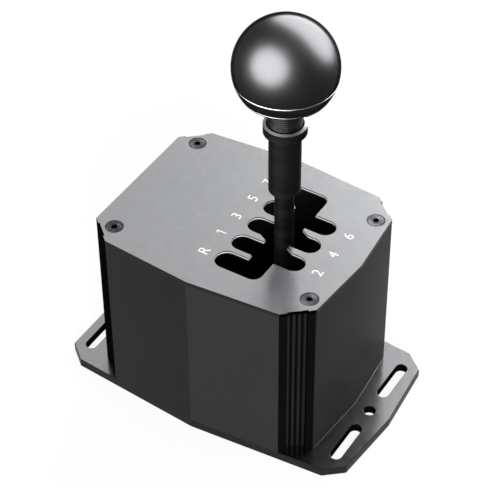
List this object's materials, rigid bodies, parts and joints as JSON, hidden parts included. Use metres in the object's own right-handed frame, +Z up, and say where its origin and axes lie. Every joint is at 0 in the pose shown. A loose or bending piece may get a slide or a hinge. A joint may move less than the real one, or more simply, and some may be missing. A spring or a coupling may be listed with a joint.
{
  "type": "gear shifter",
  "caption": "H-pattern gear shifter for driving games: a ball-knob lever in a sprung gimbal, inside a ribbed housing on a slotted base plate.",
  "frame": {"origin": "centre of the mounting slots, on the underside of the base plate", "axes": "+X to the driver's right, +Y away from the driver, +Z up along the lever at neutral"},
  "size_m": [0.106, 0.1694, 0.2286],
  "materials": {
    "black_aluminium": "fine satin black anodising",
    "grey_aluminium": "bead-blasted grey anodising",
    "dark_screws": "black oxide steel with turned heads",
    "lever_steel": "satin black on steel",
    "knob_metal": "satin black anodising with bright cut edges",
    "knob_plastic": "satin soft-touch black",
    "bright_steel": "ground steel",
    "spring_steel": "plain spring steel",
    "bronze": "sintered bronze",
    "plain_aluminium": "machined",
    "hub_aluminium": "machined",
    "black_plastic": "moulded black",
    "board_green": "solder mask",
    "brass": "plain brass",
    "contact_gold": "gold flash",
    "magnet_plate": "nickel plate",
    "lead_rubber": "soft black jacket"
  },
  "bodies": {
    "base": {"base_plate": "black_aluminium", "housing": "black_aluminium", "top_plate": "grey_aluminium", "top_screws": "dark_screws", "base_screws": "dark_screws", "rear_stand": "plain_aluminium", "front_stand": "plain_aluminium", "stand_screws": "dark_screws", "rear_bush": "bronze", "front_bush": "bronze", "left_spring_cup": "black_plastic", "right_spring_cup": "black_plastic", "left_spring": "spring_steel", "right_spring": "spring_steel", "select_board": "board_green", "select_board_screws": "bright_steel", "control_board": "board_green", "board_standoffs": "brass", "board_screws": "bright_steel", "data_socket": "black_plastic", "socket_contacts": "contact_gold", "select_lead": "lead_rubber", "shift_lead": "lead_rubber"},
    "select": {"select_frame": "hub_aluminium", "rear_trunnion": "bright_steel", "front_trunnion": "bright_steel", "trunnion_grubs": "dark_screws", "left_cross_bush": "bronze", "right_cross_bush": "bronze", "select_magnet": "magnet_plate", "detent_leaf": "spring_steel", "leaf_screws": "dark_screws", "shift_board": "board_green", "shift_board_screws": "bright_steel"},
    "lever": {"lever_hub": "hub_aluminium", "cross_pin": "bright_steel", "detent_cam": "bright_steel", "cam_screws": "dark_screws", "hub_grubs": "dark_screws", "shift_magnet": "magnet_plate", "lever_rod": "lever_steel", "lever_sleeve": "lever_steel", "lever_collar": "lever_steel", "knob_neck": "knob_metal", "knob_base": "knob_metal", "knob_band": "knob_metal", "knob_ball": "knob_plastic"}
  },
  "joints": [
    {"name": "select_tilt", "type": "hinge", "parent": "base", "child": "select", "pos_m": [0, -0.023, 0.03], "axis": [0, 1, 0], "range_deg": [-11.9, 11.9], "stiffness_Nm_per_rad": 4, "deforming": ["left_spring", "right_spring", "shift_lead"]},
    {"name": "shift_tilt", "type": "hinge", "parent": "select", "child": "lever", "pos_m": [0, -0.023, 0.03], "axis": [1, 0, 0], "range_deg": [-11.2, 11.2], "deforming": ["detent_leaf"]}
  ]
}
